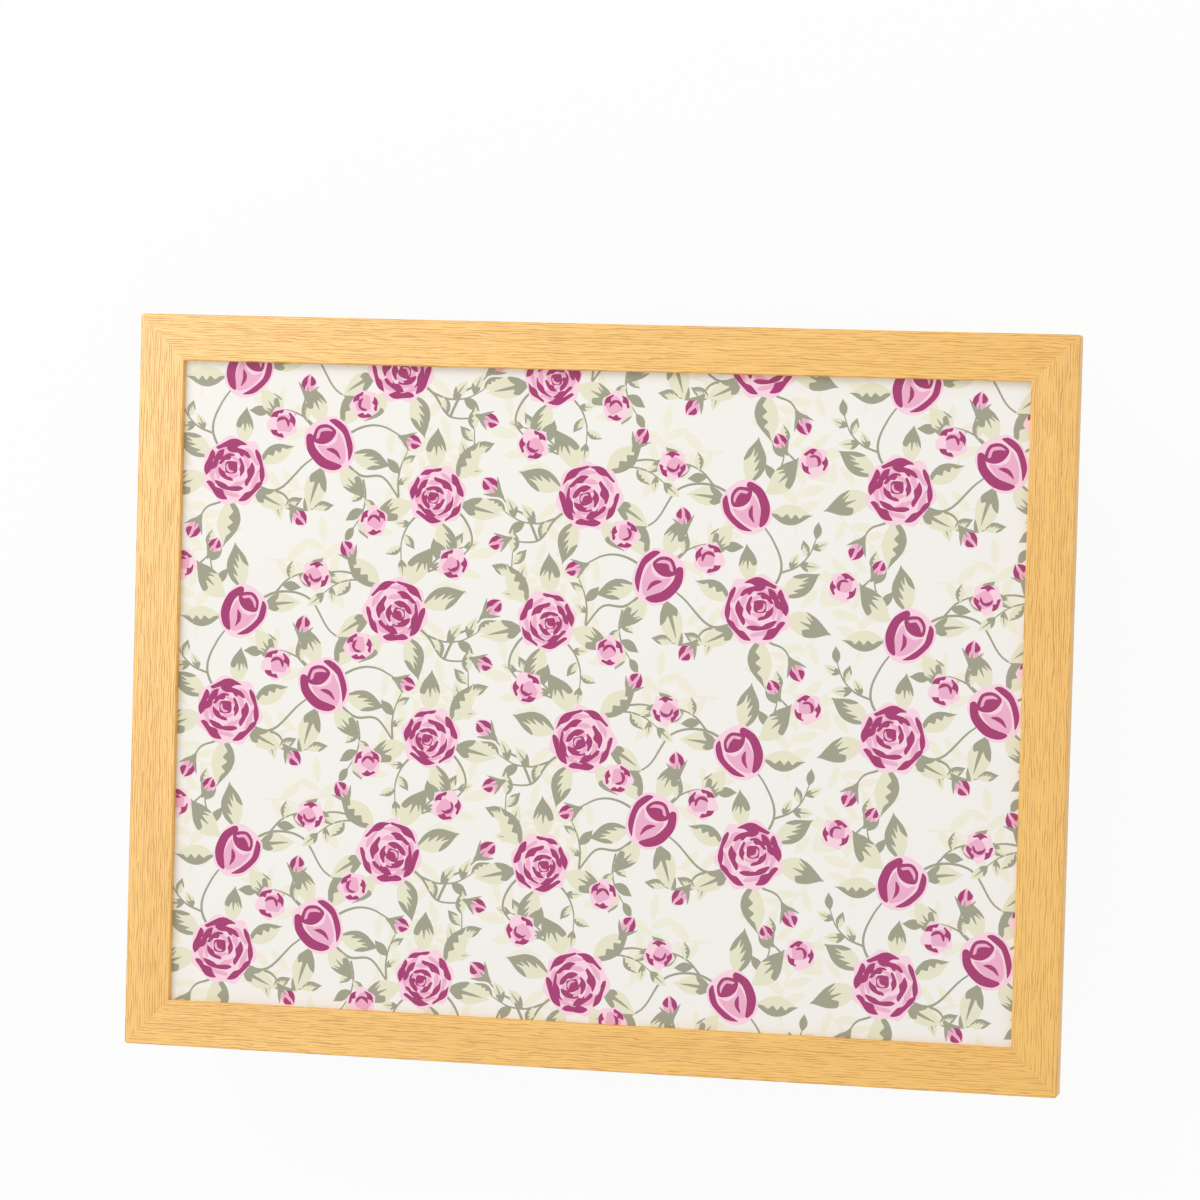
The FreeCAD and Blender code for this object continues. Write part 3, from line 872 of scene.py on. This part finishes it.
# %% Fibreboard and steel
def board_finish():
    finish, tree, shader = new_finish("fibreboard_sheet", Roughness=0.75)
    board = use(tree, fibreboard, {"Vector": object_spot(tree), "Light": bare_light, "Dark": bare_dark})
    tree.links.new(board["Color"], shader.inputs["Base Color"])
    bump(tree, shader, board["Height"], 0.1 * MM)
    return finish


def steel_finish(name, colour, roughness):
    """Bare metal with fine brushed marks and duller patches."""
    finish, tree, shader = new_finish(name, Metallic=1.0)
    spot = object_spot(tree)
    brushed = put(tree, "Mapping", {"Vector": spot, "Scale": (300, 2600, 2600)})
    marks = noise(tree, brushed.outputs[0], 1.0, 2)
    dull = tuple(0.72 * c for c in colour[:3]) + (1,)
    paint(tree, shader, rise(tree, noise(tree, spot, 240, 2), 0.35, 0.75), colour, dull)
    tree.links.new(scaled(tree, marks, 0.25, roughness - 0.12), shader.inputs["Roughness"])
    bump(tree, shader, marks, 0.03 * MM)
    return finish


dress(board_finish(), "tray_board")
dress(steel_finish("zinc_steel", ink(196, 198, 200), 0.42), "corner_v_nails", "framing_points")
print("board, nails and points are dressed")

# %% [markdown]
# ## Cloth
#
# The cover, the liner, the thread and the zip's tape are woven. A chart of the cloth would carry a woven
# picture, but the cover has none, so one node group weaves in space instead: it takes two of the three
# directions, by the way the surface faces. Slubs, which are thick stretches of yarn, vary the tone, and the
# crossing threads give the relief.

# %% Weave, as a node group
def weave_group():
    """A plain weave in the two directions along which a surface lies."""
    inputs = {"Vector": "Vector", "Facing": "Vector", "Threads per metre": "Float"}
    tree, given, made = new_group("plain_weave", inputs, {"Height": "Float", "Slub": "Float"})
    spot = put(tree, "SeparateXYZ", {0: given.outputs["Vector"]}).outputs
    facing = put(tree, "SeparateXYZ", {0: given.outputs["Facing"]}).outputs
    size = {axis: reckon(tree, "ABSOLUTE", facing[axis]) for axis in "XYZ"}
    end_on = reckon(tree, "GREATER_THAN", size["X"], reckon(tree, "MAXIMUM", size["Y"], size["Z"]))
    level = reckon(tree, "GREATER_THAN", size["Z"], reckon(tree, "MAXIMUM", size["X"], size["Y"]))
    u = scaled(tree, end_on, reckon(tree, "SUBTRACT", spot["Y"], spot["X"]), spot["X"])
    v = scaled(tree, level, reckon(tree, "SUBTRACT", spot["Y"], spot["Z"]), spot["Z"])
    count = scaled(tree, given.outputs["Threads per metre"], math.pi)
    warp = reckon(tree, "SINE", scaled(tree, u, count))
    weft = reckon(tree, "SINE", scaled(tree, v, count))
    crossing = scaled(tree, scaled(tree, warp, weft), 0.5, 0.5)

    def slubs(along, across):
        yarn = {0: scaled(tree, u, along), 1: scaled(tree, v, across)}
        return noise(tree, put(tree, "CombineXYZ", yarn).outputs[0], 1.0, 2)

    slub = scaled(tree, reckon(tree, "ADD", slubs(50, 900), slubs(900, 50)), 0.5)
    relief = scaled(tree, slub, 0.8, scaled(tree, crossing, 0.6))
    tree.links.new(slub, made.inputs["Slub"])
    tree.links.new(relief, made.inputs["Height"])
    return tree


plain_weave = weave_group()


def cloth_finish(name, light, dark, threads, depth, sheen=0.25):
    """A woven cloth: slubs change its tone, and the weave gives it relief."""
    finish, tree, shader = new_finish(name, Roughness=0.85, Sheen_Weight=sheen, Specular_IOR_Level=0.2)
    place = put(tree, "TexCoord").outputs
    lie = {"Vector": place["Object"], "Facing": place["Normal"]}
    weave = use(tree, plain_weave, {**lie, "Threads per metre": threads})
    slubs = scaled(tree, rise(tree, weave["Slub"], 0.36, 0.64), 0.75)
    tone = scaled(tree, noise(tree, place["Object"], 18, 2), 0.35, slubs)
    paint(tree, shader, tone, dark, light)
    bump(tree, shader, weave["Height"], depth)
    return finish


print("the weave is ready:", plain_weave.name)

# %% [markdown]
# ## Cushion
#
# The cushion is a boxed cotton cover filled with beads: a base that lies on the lap, a side band and a top.
# It could be modelled with subdivision alone, but cloth under pressure finds its own crown and puckers. A
# copy of the CAD filling, remeshed evenly, starts just inside the cover. The seams, the zip's side and the
# two flats are held, the rest swells, and no point may move further than the real cloth gives. The zip's
# slot is cut afterwards.

# %% Start form of the cushion
base_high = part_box("cushion_base_panel")[1]
band_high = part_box("cushion_side_band")[1]
top_low, top_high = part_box("cushion_top_panel")
filling_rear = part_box("bead_filling")[1].y
cover_out = 3.2 * MM
loose_corners = 0.02 * MM
voxel = 5 * MM


def cushion_start():
    """The CAD filling, merged, pushed out to the cover's face all round, and remeshed."""
    bm = bmesh.new()
    bm.from_mesh(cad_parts["bead_filling"].data)
    bmesh.ops.remove_doubles(bm, verts=bm.verts, dist=loose_corners)
    bm.normal_update()
    for vert in bm.verts:
        if vert.co.y > 0:
            vert.co.y *= (band_high.y - cover_out) / filling_rear
        vert.co += cover_out * vert.normal
    start = object_of(bm, "cushion_start")
    even = start.modifiers.new("even", "REMESH")
    even.mode = "VOXEL"
    even.voxel_size = voxel
    bpy.context.view_layer.update()
    seen = start.evaluated_get(bpy.context.evaluated_depsgraph_get())
    start.data = bpy.data.meshes.new_from_object(seen)
    start.modifiers.clear()
    return start


cover = cushion_start()
print("the cushion starts with", len(cover.data.vertices), "points")

# %% Hold the seams and let the cloth swell
most_swell, most_sink = 7 * MM, 0.4 * MM
seam_hold, flat_hold, zip_hold = 3 * MM, 1 * MM, 165 * MM
top_clear = 0.1 * MM
cloth_steps = 20


def on_zip_side(points):
    return (points[:, 1] > band_high.y - flat_hold) & (np.abs(points[:, 0]) < zip_hold)


def held_places(points):
    """Which points are sewn or lie flat: both seams, the top, the base and the side with the zip."""
    z = points[:, 2]
    seam = (np.abs(z - base_high.z) < seam_hold) | (np.abs(z - top_low.z) < seam_hold)
    flat = (z > top_high.z - flat_hold) | (z < flat_hold)
    return seam | flat | on_zip_side(points)


def swell(piece):
    """Where the cloth's points lie after the pressure, within the cap, and how far one went before it."""
    points = np.array([vert.co[:] for vert in piece.data.vertices])
    held = piece.vertex_groups.new(name="held")
    held.add([int(k) for k in np.flatnonzero(held_places(points))], 1.0, "REPLACE")
    cloth = piece.modifiers.new("cloth", "CLOTH")
    cloth.settings.vertex_group_mass = "held"
    cloth.settings.quality = 6
    cloth.settings.use_pressure = True
    cloth.settings.uniform_pressure_force = 4
    cloth.settings.shrink_min = -0.025
    cloth.settings.bending_stiffness = 0.5
    cloth.settings.effector_weights.gravity = 0
    cloth.collision_settings.use_collision = False
    for step in range(1, cloth_steps + 1):
        scene.frame_set(step)
    seen = piece.evaluated_get(bpy.context.evaluated_depsgraph_get())
    after = np.array([vert.co[:] for vert in seen.data.vertices])
    piece.modifiers.clear()
    scene.frame_set(1)
    outward = np.array([vert.normal[:] for vert in piece.data.vertices])
    moved = after - points
    sunk = np.minimum(0, (moved * outward).sum(axis=1, keepdims=True) + most_sink)
    moved -= sunk * outward
    reach = np.linalg.norm(moved, axis=1, keepdims=True)
    return points + moved * np.minimum(1, most_swell / np.maximum(reach, 1e-9)), float(reach.max())


spots, furthest = swell(cover)
spots[:, 2] = np.clip(spots[:, 2], 0, top_high.z - top_clear)
spots[on_zip_side(spots), 1] = band_high.y
cover.data.vertices.foreach_set("co", spots.astype(np.float32).ravel())
print("the cloth swelled by up to", round(furthest / MM, 1), "mm before the cap")

# %% Sew the seams and open the zip's slot
seam_depth = 0.9 * MM
cut_slack = 0.01 * MM
band_lower, band_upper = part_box("zip_band_lower"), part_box("zip_band_upper")
slider_clear, zip_reach = 0.2 * MM, 3 * MM
slot_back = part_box("zip_slider")[0].y - slider_clear
zip_side = band_lower[0].y - zip_reach


def smoothed(piece):
    """The piece's mesh after one level of subdivision, as a bmesh."""
    finer = piece.modifiers.new("finer", "SUBSURF")
    finer.levels = finer.render_levels = 1
    bpy.context.view_layer.update()
    bm = bmesh.new()
    bm.from_object(piece, bpy.context.evaluated_depsgraph_get())
    piece.modifiers.clear()
    return bm


def sew_seam(bm, height):
    """A loop of points round the cover at one height, drawn in by the thread."""
    whole = bm.verts[:] + bm.edges[:] + bm.faces[:]
    bmesh.ops.bisect_plane(bm, geom=whole, dist=cut_slack, plane_co=(0, 0, height), plane_no=(0, 0, 1))
    bm.normal_update()
    for vert in bm.verts:
        if abs(vert.co.z - height) < cut_slack:
            vert.co -= seam_depth * Vector((vert.normal.x, vert.normal.y, 0))


def open_slot(bm):
    """Cuts the window between the two zip bands and sinks it behind the slider."""
    def near_zip():
        faces = [face for face in bm.faces if face.calc_center_median().y > zip_side]
        edges = dict.fromkeys(edge for face in faces for edge in face.edges)
        return faces + list(edges) + list(dict.fromkeys(vert for edge in edges for vert in edge.verts))

    def in_window(face):
        x, y, z = face.calc_center_median()
        return y > zip_side and band_lower[1].z < z < band_upper[0].z and abs(x) < band_lower[1].x

    cuts = [((0, 0, height), (0, 0, 1)) for height in (band_lower[1].z, band_upper[0].z)]
    cuts += [((end, 0, 0), (1, 0, 0)) for end in (band_lower[0].x, band_lower[1].x)]
    for place, way in cuts:
        bmesh.ops.bisect_plane(bm, geom=near_zip(), dist=cut_slack, plane_co=place, plane_no=way)
    window = [face for face in bm.faces if in_window(face)]
    sunk = bmesh.ops.extrude_face_region(bm, geom=window)["geom"]
    for vert in (part for part in sunk if isinstance(part, bmesh.types.BMVert)):
        vert.co.y = slot_back
    bmesh.ops.delete(bm, geom=[face for face in window if face.is_valid], context="FACES")


bm = smoothed(cover)
bpy.data.objects.remove(cover)
for height in (base_high.z, top_low.z):
    sew_seam(bm, height)
open_slot(bm)
shade_smooth(bm, sharp_from=55)
print("the cover has", len(bm.faces), "faces")

# %% Dress the cushion
cotton = cloth_finish("cushion_cotton", ink(234, 226, 211), ink(198, 187, 168), 900, 0.25 * MM)
cover_nodes = ("cushion_base_panel", "cushion_side_band", "cushion_top_panel", "zip_band_lower",
               "zip_band_upper")
cushion_cover = piece_of(bm, "cushion_cover", "cushion", "cushion_cotton", cotton, *cover_nodes)

liner_cloth = cloth_finish("liner_fabric", ink(240, 240, 238), ink(212, 212, 210), 1400, 0.1 * MM, sheen=0.05)
dress(liner_cloth, "bead_liner")


def bead_finish():
    """Foam beads pressed together; each turns grey towards its rim and in the gaps, as painted shade."""
    finish, tree, shader = new_finish("foam_beads", Roughness=0.7)
    beads = put(tree, "TexVoronoi", {"Vector": object_spot(tree), "Scale": 260}).outputs["Distance"]
    # painted shade: the beads turn grey towards their rims and into the gaps between them
    paint(tree, shader, rise(tree, beads, 0.2, 0.7), ink(246, 246, 244), ink(206, 206, 204))
    bump(tree, shader, reckon(tree, "SUBTRACT", 1.0, beads), 1.5 * MM)
    return finish


dress(bead_finish(), "bead_filling")
print("the cushion is dressed")

# %% [markdown]
# ## Stitches
#
# A row of topstitching runs round the zip's slot, and another holds each loop strip on the cushion. A
# dashed line in a material would vanish from the side, so each stitch is a small stretched sphere that sinks
# into the cloth. Hundreds of them stay light, because each has only a few dozen faces.

# %% Rows of stitches
stitch_long, stitch_thick, stitch_pitch = 2.7 * MM, 0.55 * MM, 3.6 * MM


def stitch_row(bm, start, end, up):
    """Short rounded threads from one point to another, lying on a face whose way out is up."""
    start, end = Vector(start), Vector(end)
    ahead = (end - start).normalized()
    frame_axes = Matrix((ahead, Vector(up).cross(ahead), Vector(up))).transposed()
    lay = frame_axes.to_4x4() @ Matrix.Diagonal((stitch_long, stitch_thick, stitch_thick, 1))
    count = round((end - start).length / stitch_pitch)
    for k in range(count):
        place = Matrix.Translation(start.lerp(end, (k + 0.5) / count))
        bmesh.ops.create_uvsphere(bm, u_segments=6, v_segments=5, radius=0.5, matrix=place @ lay)


def stitch_ring(bm, corners, up):
    for k, corner in enumerate(corners):
        stitch_row(bm, corner, corners[(k + 1) % len(corners)], up)


slot_margin, strip_margin = 3 * MM, 2 * MM
thread_proud = 0.1 * MM
seam_y = band_high.y + thread_proud
bm = bmesh.new()
round_slot = four_corners(band_lower[0].x - slot_margin, band_lower[1].x + slot_margin,
                          band_lower[1].z - slot_margin, band_upper[0].z + slot_margin)
stitch_ring(bm, [(x, seam_y, z) for x, z in round_slot], (0, 1, 0))
sides = [f"{end}_{side}" for end in ("front", "rear") for side in ("left", "right")]
for side in sides:
    low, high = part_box(f"loop_strip_{side}")
    level = high.z - stitch_thick / 2
    on_strip = four_corners(low.x + strip_margin, high.x - strip_margin, low.y + strip_margin,
                            high.y - strip_margin)
    stitch_ring(bm, [(x, y, level) for x, y in on_strip], (0, 0, 1))
for face in bm.faces:
    face.smooth = True
thread = cloth_finish("sewing_thread", ink(204, 192, 168), ink(160, 146, 120), 3000, 0.1 * MM, sheen=0.1)
stitching = piece_of(bm, "stitching", "cushion", "cushion_cotton", thread)
print("the stitching has", len(stitching.data.polygons), "faces")

# %% [markdown]
# ## Zip and strips
#
# The zip has woven tapes, moulded teeth and a plated slider. Hook tape sticks to the board, and loop tape
# is sewn on the cushion. The CAD nodes have these shapes down to the teeth, so only the finishes are
# missing. Hooks and loops are far too many to model, so cells with some fuzz give their tape its nap, and
# the hollows between the cells are darkened as painted shade.

# %% Zip and strips
tape_cloth = cloth_finish("zip_tape", ink(214, 204, 186), ink(176, 164, 144), 1600, 0.12 * MM)
dress(tape_cloth, "zip_tape_lower", "zip_tape_upper")


def moulded_finish(name, light, dark):
    """Moulded plastic with a fine satin grain."""
    finish, tree, shader = new_finish(name, Roughness=0.45)
    grain = noise(tree, object_spot(tree), 900, 2)
    paint(tree, shader, rise(tree, grain, 0.3, 0.7), light, dark)
    bump(tree, shader, grain, 0.04 * MM)
    return finish


teeth_plastic = moulded_finish("zip_teeth", ink(205, 194, 174), ink(186, 174, 153))
dress(teeth_plastic, "zip_teeth_lower", "zip_teeth_upper")
nickel = steel_finish("zip_metal", ink(205, 203, 198), 0.3)
dress(nickel, "zip_end_stops", "zip_slider", "zip_pull")


def nap_finish(name, light, dark, cells, depth):
    """Hook or loop tape: a close field of small bosses or tangled loops, with painted shade in the hollows
    between them.
    """
    finish, tree, shader = new_finish(name, Roughness=0.8, Sheen_Weight=0.2)
    spot = object_spot(tree)
    cell = put(tree, "TexVoronoi", {"Vector": spot, "Scale": cells, "Randomness": 0.55}).outputs["Distance"]
    fuzz = noise(tree, spot, 3 * cells, 2, 2.0)
    nap = scaled(tree, fuzz, 0.5, reckon(tree, "SUBTRACT", 0.8, cell))
    # the colour follows the nap's height: the low hollows are painted shade, and the fuzz adds a random tone
    paint(tree, shader, rise(tree, nap, 0.4, 1.0), dark, light)
    bump(tree, shader, nap, depth)
    return finish


hook_tape = nap_finish("hook_tape", ink(244, 241, 234), ink(214, 210, 202), 700, 0.5 * MM)
loop_tape = nap_finish("loop_tape", ink(247, 244, 237), ink(226, 222, 213), 420, 0.6 * MM)
for side in sides:
    dress(hook_tape, f"hook_strip_{side}")
    dress(loop_tape, f"loop_strip_{side}")
print("zip and strips are dressed")
